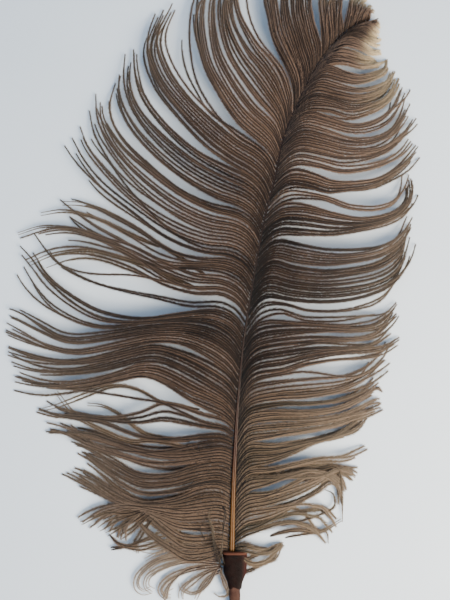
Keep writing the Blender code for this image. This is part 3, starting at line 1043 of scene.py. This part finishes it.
def wisp_strands(wisps: tuple, seed: int, pale: float, fullness: float = 1.0) -> list[Strand]:
    """Strands for loose wisps, each with its copies fanned out beside it.

    Args:
        wisps: The wisps.
        seed: The seed of every random draw.
        pale: How far they bleach to cream, 0 to 1.
        fullness: The length of their barbules, as a share of a barb's.

    Returns:
        The strands.
    """
    draw = np.random.default_rng(seed)
    along = np.linspace(0.0, 1.0, 40)
    found = []
    for wisp in wisps:
        route = smooth_route(list(wisp.points), len(along))
        across = leftward(route)
        low, middle, high = wisp.heights
        height = low * (1 - along) ** 2 + middle * 2 * along * (1 - along) * 1.3 + high * along**2
        for copy in range(wisp.copies):
            place = copy - (wisp.copies - 1) / 2.0
            offset = wisp.spread * place * (0.35 + 0.65 * along) + ripple(
                draw, draw.uniform(0.2, 0.8), along, (0.6, 1.4))
            found.append(Strand(
                points=np.column_stack([route + across * offset[:, None],
                                        np.maximum(height + 0.4 * place, 0.5)]),
                thick=0.95 - 0.75 * along,
                fringe=fullness * wisp.full * (0.5 + 0.5 * smooth_step(0.0, 0.1, along))
                * (1.0 - 0.8 * smooth_step(0.6, 1.0, along)),
                tone=float(draw.uniform(0.3, 0.9)),
                pale=pale * (0.4 + 0.6 * along),
            ))
    return found


@dataclass
class Plumage:
    """Everything soft: both vanes, the wisps that cross them, and the down round the sleeve.

    Attributes:
        rachis: The line of the shaft.
        barbs: The finish of the barbs.
        down: The finish of the down.
    """

    rachis: Rachis
    barbs: "BarbFinish"
    down: "BarbFinish"

    def _grow(self, tree: BarbTree, strands: list[Strand], name: str, node: str) -> None:
        """Grow one piece from its strands and settle it.

        Args:
            tree: Its kind of barb.
            strands: Its strands.
            name: Its name.
            node: The solid that it stands for.
        """
        log.info("%s: %d barbs", name, len(strands))
        settle(tree.grow(strand_mesh(name, strands)), node)

    def build(self) -> None:
        """Make every soft piece."""
        tree = BarbTree(self.barbs.stem("barb_stems"), self.barbs.barbule("barbules"))
        sides = (
            (Side.LEFT, LEFT_LOCKS, "left_vane",
             {Stretch.FOOT: LEFT_FOOT_WISPS, Stretch.WAIST: LEFT_WAIST_WISPS},
             ((0.0, 0.06), (0.25, 0.0), (1.0, 0.0))),
            (Side.RIGHT, RIGHT_LOCKS, "right_vane", {Stretch.FOOT: RIGHT_FOOT_WISPS},
             ((0.0, 0.13), (0.2, 0.09), (0.34, 0.0), (1.0, 0.0))),
        )
        for side, locks, node, wisps, gilt in sides:
            vane = Vane(side, locks, self.rachis, seed=40 + side.value, gilt=gilt)
            for stretch, strands in vane.strands().items():
                strands = strands + wisp_strands(wisps.get(stretch, ()), seed=5, pale=0.12)
                self._grow(tree, strands, f"{node}_{stretch.value}", node)
        soft = BarbTree(self.down.stem("down_stems"), self.down.barbule("down_fluff"),
                        ramus_radius=0.42, length=2.7, width=0.2, lean=28.0, seed=19)
        strands = wisp_strands(BASE_WISPS, seed=8, pale=0.35, fullness=1.05)
        self._grow(soft, strands, "base_down_tangle", "base_down")


# ---------------------------------------------------------------- finishes


class Paint(Wiring):
    """A material's node tree, with short calls for what the finishes share."""

    def __init__(self, name: str) -> None:
        """Start a material that holds one Principled shader."""
        self.material = bpy.data.materials.new(name)
        self.material.use_nodes = True
        super().__init__(self.material.node_tree)

    def attribute(self, label: str) -> bpy.types.NodeSocket:
        """A number that the mesh carries under this name."""
        return self.add("ShaderNodeAttribute", attribute_name=label).outputs["Fac"]

    def place(self, kind: str = "Object") -> bpy.types.NodeSocket:
        """Coordinates on the piece."""
        return self.add("ShaderNodeTexCoord").outputs[kind]

    def part(self, source: bpy.types.NodeSocket, axis: str) -> bpy.types.NodeSocket:
        """Coordinates along one axis."""
        return self.add("ShaderNodeSeparateXYZ", {0: source}).outputs[axis]

    def stretched(self, source: bpy.types.NodeSocket, scale: tuple) -> bpy.types.NodeSocket:
        """Coordinates stretched along each axis."""
        return self.add("ShaderNodeMapping", {"Vector": source, "Scale": scale}).outputs[0]

    def noise(
        self, source: bpy.types.NodeSocket, scale: float, detail: float = 3.0, roughness: float = 0.55
    ) -> bpy.types.NodeSocket:
        """Noise between about 0.2 and 0.8."""
        feeds = {"Vector": source, "Scale": scale, "Detail": detail, "Roughness": roughness}
        return self.add("ShaderNodeTexNoise", feeds).outputs["Fac"]

    def weigh(self, *pairs: tuple) -> bpy.types.NodeSocket:
        """Several values added up.

        Args:
            pairs: Each value with its weight.

        Returns:
            The sum.
        """
        total, *others = [self.times(value, weight) for value, weight in pairs]
        for other in others:
            total = self.calculate("ADD", total, other)
        return total

    def ramp(self, value: bpy.types.NodeSocket, *stops: tuple) -> bpy.types.NodeSocket:
        """A colour for a value.

        Args:
            value: The value.
            stops: (position, colour) pairs.

        Returns:
            The colour.
        """
        node = self.add("ShaderNodeValToRGB", {0: value})
        elements = node.color_ramp.elements
        for index, (position, colour) in enumerate(stops):
            element = elements[index] if index < 2 else elements.new(position)
            element.position = position
            element.color = (*colour, 1.0)
        return node.outputs["Color"]

    def mix(self, share: object, first: object, second: object) -> bpy.types.NodeSocket:
        """Two colours mixed."""
        first, second = ((*c, 1.0) if isinstance(c, tuple) else c for c in (first, second))
        return self.add("ShaderNodeMix", {0: share, 6: first, 7: second}, data_type="RGBA").outputs[2]

    def spread(self, value: bpy.types.NodeSocket, low: float, high: float, to_low: float = 0.0,
               to_high: float = 1.0) -> bpy.types.NodeSocket:
        """A value taken from one range to another, and held inside it."""
        feeds = {"Value": value, "From Min": low, "From Max": high, "To Min": to_low, "To Max": to_high}
        return self.add("ShaderNodeMapRange", feeds).outputs["Result"]

    def bump(self, height: bpy.types.NodeSocket, distance: float) -> bpy.types.NodeSocket:
        """A normal raised by a height, whose full range is a distance in metres."""
        feeds = {"Strength": 1.0, "Distance": distance, "Height": height}
        return self.add("ShaderNodeBump", feeds).outputs[0]

    def finish(self, **inputs: object) -> bpy.types.Material:
        """Feed the shader.

        Args:
            inputs: What goes into each of its inputs, with _ for each space in a name.

        Returns:
            The finished material.
        """
        for label, value in inputs.items():
            self.feed(self.tree.nodes["Principled BSDF"].inputs[label.replace("_", " ")], value)
        return self.material


def srgb(red: int, green: int, blue: int) -> tuple[float, ...]:
    """A colour given as it shows on a screen, 0 to 255, in linear light."""
    parts = (red / 255.0, green / 255.0, blue / 255.0)
    return tuple(part / 12.92 if part <= 0.04045 else ((part + 0.055) / 1.055) ** 2.4 for part in parts)


@dataclass(frozen=True)
class BarbFinish:
    """Barbs of one colour family.

    Attributes:
        dark: The darkest stems, and the painted shade at the foot of each barbule.
        brown: Stems that catch the light.
        deep: The darkest barbules.
        light: The lightest barbules.
        tip: The barbules towards a barb's tip.
        cream: The colour that pale ends turn to: painted light through the thin tips at the crown, and the
            own paler colour of gilt barbs and down.
    """

    dark: tuple = srgb(9, 5, 4)
    brown: tuple = srgb(30, 19, 14)
    deep: tuple = srgb(36, 25, 19)
    light: tuple = srgb(128, 103, 87)
    tip: tuple = srgb(116, 101, 92)
    cream: tuple = srgb(208, 186, 148)

    def stem(self, name: str) -> bpy.types.Material:
        """The horny stems: dark brown, turning cream towards pale ends, which at the crown's tips is painted
        light.

        Args:
            name: The material's name.

        Returns:
            The material.
        """
        paint = Paint(name)
        flecks = paint.noise(paint.place(), 900.0)
        mixed = paint.weigh((paint.attribute("tone"), 0.6), (flecks, 0.5))
        colour = paint.ramp(mixed, (0.15, self.dark), (0.95, self.brown))
        ends = paint.spread(paint.attribute("along"), 0.3, 0.95, 0.0, 0.95)
        # painted light at the crown's tips, where light would shine through; the gilt barbs' and the down's
        # own paler colour elsewhere
        colour = paint.mix(paint.times(paint.attribute("pale"), ends), colour, self.cream)
        rough = paint.spread(flecks, 0.2, 0.8, 0.42, 0.62)
        return paint.finish(Base_Color=colour, Roughness=rough, Specular_IOR_Level=0.25)

    def barbule(self, name: str) -> bpy.types.Material:
        """The soft barbules: taupe, uneven along each barb, lighter at their ends, with painted shade at
        their feet beside the stem.

        Args:
            name: The material's name.

        Returns:
            The material.
        """
        paint = Paint(name)
        place = paint.place()
        patches = paint.noise(place, 55.0, 4.0)
        grain = paint.noise(place, 700.0, 2.0)
        mixed = paint.weigh((paint.attribute("tone"), 0.35), (patches, 0.5), (grain, 0.25))
        colour = paint.ramp(mixed, (0.3, self.deep), (0.95, self.light))
        outer = paint.spread(paint.attribute("along"), 0.25, 0.9, 0.0, 0.5)
        colour = paint.mix(outer, colour, self.tip)
        # painted shade: each barbule darkens towards its foot beside the stem, where its neighbours would
        # shade it
        painted_foot_shade = paint.spread(paint.attribute("reach"), 0.05, 0.5, 0.7, 0.0)
        colour = paint.mix(painted_foot_shade, colour, self.dark)
        # painted light at the crown's tips, where light would shine through the thin barbules; the gilt
        # barbs' and the down's own paler colour elsewhere
        colour = paint.mix(paint.attribute("pale"), colour, self.cream)
        rough = paint.spread(grain, 0.2, 0.8, 0.7, 0.9)
        return paint.finish(Base_Color=colour, Roughness=rough, Specular_IOR_Level=0.2)


@dataclass(frozen=True)
class HornFinish:
    """The shaft: golden and glossy at its foot, darkening towards the crown.

    Attributes:
        gold: Its colour at the foot.
        amber: Its colour a little higher, and in its groove.
        brown: Its colour at a third of its length.
        slate: Its colour from there to the crown.
        flank_shade: The painted shade along both flanks, where they turn down beside the barbs.
    """

    gold: tuple = srgb(100, 64, 20)
    amber: tuple = srgb(50, 22, 7)
    brown: tuple = srgb(26, 14, 8)
    slate: tuple = srgb(20, 17, 15)
    flank_shade: tuple = srgb(12, 7, 5)

    def material(self, name: str, foot: float, crown: float) -> bpy.types.Material:
        """The horn's material.

        Args:
            name: The material's name.
            foot: The Y where the shaft leaves the sleeve, in metres.
            crown: The Y of its far end, in metres.

        Returns:
            The material, which reads the shaft's own UV map.
        """
        paint = Paint(name)
        climb = paint.spread(paint.part(paint.place(), "Y"), foot, crown)
        colour = paint.ramp(climb, (0.0, self.gold), (0.08, self.gold), (0.18, self.amber),
                            (0.3, self.brown), (0.45, self.slate), (1.0, self.slate))
        strands = paint.noise(paint.stretched(paint.place("UV"), (60.0, 5.0, 1.0)), 1.0, 5.0, 0.6)
        colour = paint.mix(paint.spread(strands, 0.35, 0.75, 0.0, 0.45), colour, self.amber)
        across = paint.calculate("SUBTRACT", paint.part(paint.place("UV"), "X"), 0.25)
        off = paint.calculate("ABSOLUTE", across)
        colour = paint.mix(paint.spread(off, 0.0, 0.035, 0.75, 0.0), colour, self.amber)
        # painted shade: both flanks of the horn darken as they turn down from its top face
        colour = paint.mix(paint.spread(off, 0.15, 0.23, 0.0, 0.95), colour, self.flank_shade)
        rough = paint.spread(strands, 0.3, 0.8, 0.24, 0.42)
        return paint.finish(Base_Color=colour, Roughness=rough, Specular_IOR_Level=0.22,
                            Normal=paint.bump(strands, 0.00006))


@dataclass(frozen=True)
class LeatherFinish:
    """Leather with pores and creases, a mottled painted highlight along its rim, and painted light and shade
    on its right flank.

    Attributes:
        deep: Its colour in the hollows of the grain.
        face: Its colour on the flat.
        rim_highlight: Its colour along the rim, where a mottled painted highlight lies.
        flank_light_and_shade: The colour painted on its right flank: painted light on the sleeve, warmer and
            lighter where it faces the lamp; painted shade on the grip, darker down its right side.
        pores: How many pores there are in a metre.
        gloss: The roughness of its face.
    """

    deep: tuple = srgb(9, 3, 2)
    face: tuple = srgb(28, 10, 6)
    rim_highlight: tuple = srgb(84, 50, 38)
    flank_light_and_shade: tuple = srgb(58, 16, 9)
    pores: float = 1500.0
    gloss: float = 0.5

    def material(self, name: str, rim: tuple, flank: tuple) -> bpy.types.Material:
        """The leather's material.

        Args:
            name: The material's name.
            rim: The Y where the painted highlight along the rim begins and where it is full, in metres.
            flank: The X where the painted light and shade of the right flank begins and where it is full, in
                metres.

        Returns:
            The material.
        """
        paint = Paint(name)
        place = paint.place()
        feeds = {"Vector": place, "Scale": self.pores}
        cells = paint.add("ShaderNodeTexVoronoi", feeds, feature="DISTANCE_TO_EDGE")
        grain = paint.spread(cells.outputs["Distance"], 0.0, 0.25)
        clouds = paint.noise(place, 180.0, 5.0, 0.65)
        creases = paint.noise(paint.stretched(place, (90.0, 420.0, 90.0)), 1.0, 4.0)
        colour = paint.mix(paint.spread(clouds, 0.3, 0.75), self.deep, self.face)
        colour = paint.mix(paint.spread(grain, 0.0, 0.5, 0.35, 0.0), colour, self.deep)
        # painted light and shade on the right flank
        flank_light_and_shade_mask = paint.times(paint.spread(paint.part(place, "X"), *flank), 0.8)
        colour = paint.mix(flank_light_and_shade_mask, colour, self.flank_light_and_shade)
        # painted highlight along the rim, mottled by the clouds
        wear_and_rim_highlight = paint.times(paint.spread(paint.part(place, "Y"), *rim),
                           paint.spread(clouds, 0.25, 0.55, 0.7, 1.0))
        colour = paint.mix(wear_and_rim_highlight, colour, self.rim_highlight)
        rough = paint.spread(clouds, 0.3, 0.8, self.gloss - 0.08, self.gloss + 0.12)
        return paint.finish(Base_Color=colour, Roughness=rough, Specular_IOR_Level=0.08,
                            Normal=paint.bump(paint.weigh((grain, 0.4), (creases, 1.0)), 0.00015))


@dataclass(frozen=True)
class TableFinish:
    """A smooth pale table top with the faintest mottling.

    Attributes:
        light: Its lighter colour.
        dim: Its darker colour.
    """

    light: tuple = srgb(226, 235, 245)
    dim: tuple = srgb(220, 229, 240)

    def material(self, name: str) -> bpy.types.Material:
        """The table's material.

        Args:
            name: The material's name.

        Returns:
            The material.
        """
        paint = Paint(name)
        mottle = paint.noise(paint.place(), 7.0, 3.0)
        colour = paint.mix(paint.spread(mottle, 0.3, 0.7), self.dim, self.light)
        return paint.finish(Base_Color=colour, Roughness=0.8)


# ---------------------------------------------------------------- shaft, sleeve and grip


def loft(name: str, rings: np.ndarray, finish: bpy.types.Material) -> bpy.types.Object:
    """A smooth skin through rings of points, closed at both ends.

    Args:
        name: The object's name.
        rings: Points in metres, as an array of rings by points by 3.
        finish: The material.

    Returns:
        The object, with a UV map: U once round a ring, V in steps of 10 mm along it.
    """
    count, around = rings.shape[:2]
    walked = np.linalg.norm(np.diff(rings.mean(axis=1), axis=0), axis=1)
    along = np.concatenate([[0.0], np.cumsum(walked)]) * 100.0
    shape = bmesh.new()
    grid = [[shape.verts.new(point) for point in ring] for ring in rings.tolist()]
    uv = shape.loops.layers.uv.new("UVMap")
    for row in range(count - 1):
        for col in range(around):
            places = ((col, row), (col + 1, row), (col + 1, row + 1), (col, row + 1))
            face = shape.faces.new([grid[v][u % around] for u, v in places])
            for loop, (u, v) in zip(face.loops, places):
                loop[uv].uv = (u / around, along[v])
    shape.faces.new(grid[0][::-1])
    shape.faces.new(grid[-1])
    for face in shape.faces:
        face.smooth = True
    bmesh.ops.recalc_face_normals(shape, faces=shape.faces)
    mesh = bpy.data.meshes.new(name)
    shape.to_mesh(mesh)
    shape.free()
    mesh.materials.append(finish)
    return placed(name, mesh)


def squared_circle(around: int, power: float) -> list[np.ndarray]:
    """The X and the Y of a unit circle's points, pushed out to a square by a power below 1."""
    turns = 2 * math.pi * np.arange(around) / around
    return [np.sign(part) * np.abs(part) ** power for part in (np.cos(turns), np.sin(turns))]


@dataclass
class Quill:
    """The horn of the shaft, with the groove down its face.

    Attributes:
        rachis: Its line.
        finish: Its finish.
        around: How many points its section has.
        along: How many sections it has.
        depth: Its height as a share of its width.
        groove: The groove's depth as a share of the width.
        flare: The groove's half width as a share of the width.
    """

    rachis: Rachis
    finish: HornFinish
    around: int = 32
    along: int = 220
    depth: float = 0.85
    groove: float = 0.1
    flare: float = 0.13

    def build(self) -> None:
        """Make the horn and settle it."""
        turns = 2 * math.pi * (np.arange(self.around) + 0.5) / self.around
        across = np.cos(turns) / 2
        up = np.sin(turns) / 2 * self.depth
        up = up - self.groove * np.exp(-((across / self.flare) ** 2)) * (up > 0)
        rings = []
        for share in np.linspace(0.0, 1.0, self.along):
            centre, ahead, width = self.rachis.at(float(share))
            side = np.array([ahead[1], -ahead[0], 0.0])
            rings.append(centre + width * (across[:, None] * side + up[:, None] * np.array([0.0, 0.0, 1.0])))
        finish = self.finish.material("shaft_horn", SLEEVE_MOUTH * MM, self.rachis.points[-1, 1] * MM)
        settle(loft("shaft_horn", np.array(rings) * MM, finish), "shaft")


@dataclass
class LeatherSleeve:
    """The tapered leather sleeve round the foot of the quill, with a painted highlight along its rim.

    Attributes:
        finish: Its finish.
        skin: Its outside: (distance from the mouth, half width, height) rows in mm.
        neck: The distance from the mouth at which the rim has ended, in mm.
        step: The distance between sections beyond that, in mm.
        centre: The X of its middle, in mm.
        power: How square its section is: 1 is an ellipse, and less is squarer.
        pocket: The half width and half height of the pocket for the quill, in mm.
        middle: The height of the pocket's middle, in mm.
        inside: The pocket's sections from its floor out: (distance from the mouth in mm, size).
        sink: How far the worn upper face lies below the skin's rows, in mm.
        swells: (height in mm, waves a mm along, waves a mm across) of each swell in the leather.
        around: How many points its section has.
    """

    finish: LeatherFinish
    skin: tuple = (
        (0.0, 7.55, 6.4), (0.12, 7.85, 6.85), (0.45, 8.2, 7.25), (1.0, 8.3, 7.4), (1.6, 8.2, 7.3),
        (2.05, 7.85, 6.85), (2.3, 7.85, 6.8), (2.8, 8.0, 7.0), (8.0, 8.0, 7.0), (14.0, 7.6, 6.8),
        (17.5, 6.2, 6.5), (21.0, 4.9, 6.2), (24.2, 4.5, 6.0), (24.8, 4.35, 5.8), (25.0, 4.0, 5.5),
    )
    neck: float = 2.8
    step: float = 0.4
    centre: float = 15.2
    power: float = 0.625
    pocket: tuple = (2.4, 2.2)
    middle: float = 3.3
    inside: tuple = ((17.0, 0.6), (17.0, 1.0), (1.0, 1.0), (0.3, 1.06), (0.0, 1.2))
    sink: float = 0.12
    swells: tuple = ((0.05, 0.8, 0.5), (0.03, 1.9, -1.1))
    around: int = 96

    def _ring(self, back: float, half_width: float, low: float, high: float) -> np.ndarray:
        """One section.

        Args:
            back: Its distance from the mouth, in mm.
            half_width: Its half width, in mm.
            low: The height of its underside, in mm.
            high: The height of its top, in mm.

        Returns:
            Its points, in mm.
        """
        across, up = squared_circle(self.around, self.power)
        x = self.centre + across * half_width
        return np.column_stack([x, np.full(self.around, SLEEVE_MOUTH - back),
                                (low + high) / 2 + up * ((high - low) / 2)])

    def _worn(self, ring: np.ndarray, back: float, width: float, height: float) -> np.ndarray:
        """A section of the skin with the swells of soft leather.

        Args:
            ring: The section.
            back: Its distance from the mouth, in mm.
            width: Its half width, in mm.
            height: Its height, in mm.

        Returns:
            The same points, moved.
        """
        swell = sum(size * np.sin(down * back + over * ring[:, 0]) for size, down, over in self.swells)
        ring[:, 2] += (swell - self.sink) * np.clip(ring[:, 2] / height, 0.0, 1.0)
        ring[:, 0] += self.swells[0][0] * np.sin(0.5 * back) * (ring[:, 0] - self.centre) / width
        return ring

    def build(self) -> None:
        """Make the sleeve and settle it."""
        distances, widths, heights = np.array(self.skin).T
        half_width, half_height = self.pocket
        rings = [self._ring(back, half_width * grow, self.middle - half_height * grow,
                            self.middle + half_height * grow) for back, grow in self.inside]
        end = distances[-1]
        for back in np.unique(np.concatenate([distances, np.arange(self.neck, end, self.step)])):
            width = np.interp(back, distances, widths)
            height = np.interp(back, distances, heights)
            ring = self._ring(back, width, 0.0, height)
            wear_and_rim_highlight = self.neck < back < end - 0.5
            rings.append(self._worn(ring, back, width, height) if wear_and_rim_highlight else ring)
        mouth = SLEEVE_MOUTH * MM
        # painted highlight along the top 2 mm of the rim, and painted light on the right flank from X 19.5
        # mm out
        finish = self.finish.material("sleeve_leather", (mouth - 0.0022, mouth - 0.0017), (0.0195, 0.0235))
        settle(loft("leather_sleeve_skin", np.array(rings) * MM, finish), "leather_sleeve")


@dataclass
class LeatherGrip:
    """The short leather-bound end that comes out of the sleeve.

    Attributes:
        finish: Its finish.
        start: The Y where it begins, inside the sleeve, in mm.
        end: The Y of its rounded end, in mm.
        dome: The length of its rounded end, in mm.
        step: The distance between sections, in mm.
        centre: The X and Z of its middle, in mm.
        half: Its half width and half height, in mm.
        power: How square its section is: 1 is an ellipse, and less is squarer.
        around: How many points its section has.
    """

    finish: LeatherFinish
    start: float = -196.5
    end: float = -222.2
    dome: float = 2.4
    step: float = 0.4
    centre: tuple = (15.0, 3.3)
    half: tuple = (3.75, 2.65)
    power: float = 0.75
    around: int = 64

    def build(self) -> None:
        """Make the grip and settle it."""
        across, up = squared_circle(self.around, self.power)
        rings = []
        shoulder = self.end + self.dome
        rounded = shoulder - self.dome * np.sin(np.linspace(0, math.pi / 2, 10))
        for y in np.concatenate([np.arange(self.start, shoulder, -self.step), rounded]):
            left = max(0.0, (shoulder - y) / self.dome)
            grow = math.sqrt(max(0.0, 1.0 - left**2)) * 0.97 + 0.03
            snug = 0.985 + 0.015 * math.sin(1.1 * y)
            rings.append(np.column_stack([
                self.centre[0] + across * self.half[0] * grow * snug, np.full(self.around, y),
                self.centre[1] + up * self.half[1] * grow * snug,
            ]))
        # painted shade down the grip's right side, from X 17.2 mm out; NOWHERE keeps the rim highlight off
        # it
        finish = self.finish.material("grip_leather", NOWHERE, (0.0172, 0.0188))
        settle(loft("leather_grip_skin", np.array(rings) * MM, finish), "leather_grip")


# ---------------------------------------------------------------- studio


@dataclass(frozen=True)
class Lamp:
    """A square lamp that faces the plume.

    Attributes:
        name: Its name.
        place: Where it hangs, in metres.
        size: Its side, in metres.
        power: Its power, in watts.
        colour: Its colour.
    """

    name: str
    place: tuple
    size: float
    power: float
    colour: tuple

    def hang(self) -> None:
        """Hang the lamp."""
        lamp = bpy.data.lights.new(self.name, "AREA")
        lamp.shape = "SQUARE"
        lamp.size = self.size
        lamp.energy = self.power
        lamp.color = self.colour
        hung = placed(self.name, lamp)
        hung.location = self.place
        hung.rotation_euler = (-Vector(self.place)).to_track_quat("-Z", "Y").to_euler()


@dataclass
class Studio:
    """The table, the lights and the camera.

    Attributes:
        reach: The side of the table top, in metres.
        under: How far the table's face lies below the plume, in metres.
        sky: The colour of the light from all round.
        glow: Its strength.
        lamps: The lamps.
        aim: The X and Y that the camera looks down on, in metres.
        distance: The camera's height, in metres.
        lens: The camera's focal length, in mm.
    """

    reach: float = 12.0
    under: float = 0.0002
    sky: tuple = (0.52, 0.73, 1.0, 1.0)
    glow: float = 0.75
    lamps: tuple = (
        Lamp("window", (0.62, -0.42, 0.62), 0.7, 30.0, (1.0, 0.9, 0.73)),
        Lamp("fill", (-0.7, 0.9, 1.6), 1.5, 4.0, (0.7, 0.86, 1.0)),
    )
    aim: tuple = (0.0086, -0.0086)
    distance: float = 0.555
    lens: float = 50.0

    def _table(self) -> None:
        """Lay the table top."""
        shape = bmesh.new()
        bmesh.ops.create_grid(shape, x_segments=1, y_segments=1, size=self.reach / 2)
        bmesh.ops.translate(shape, verts=shape.verts, vec=(0.0, 0.0, -self.under))
        mesh = bpy.data.meshes.new("table_top")
        shape.to_mesh(mesh)
        shape.free()
        mesh.materials.append(TableFinish().material("table_top"))
        placed("table_top", mesh)

    def build(self) -> None:
        """Set up the table, the lights and the camera."""
        self._table()
        world = bpy.data.worlds.new("room")
        world.use_nodes = True
        background = world.node_tree.nodes["Background"]
        background.inputs["Color"].default_value = self.sky
        background.inputs["Strength"].default_value = self.glow
        bpy.context.scene.world = world
        for lamp in self.lamps:
            lamp.hang()
        camera = bpy.data.cameras.new("camera")
        camera.lens = self.lens
        camera.sensor_width = 36.0
        stand = placed("camera", camera)
        stand.location = (*self.aim, self.distance)
        bpy.context.scene.camera = stand


def main() -> None:
    """Build the plume piece by piece and note its size."""
    logging.basicConfig(level=logging.INFO, format="%(name)s %(message)s")
    rachis = Rachis()
    Quill(rachis, HornFinish()).build()
    LeatherSleeve(LeatherFinish()).build()
    grip = LeatherFinish(deep=srgb(54, 32, 25), face=srgb(88, 62, 52), rim_highlight=srgb(112, 84, 72),
                         flank_light_and_shade=srgb(40, 20, 18), pores=1900.0, gloss=0.55)
    LeatherGrip(grip).build()
    down = BarbFinish(dark=srgb(22, 11, 12), brown=srgb(48, 28, 27), deep=srgb(84, 66, 56),
                      light=srgb(156, 132, 114), tip=srgb(140, 120, 104), cream=srgb(196, 176, 152))
    Plumage(rachis, BarbFinish(), down).build()
    Studio().build()
    bpy.context.view_layer.update()


if __name__ == "__main__":
    main()
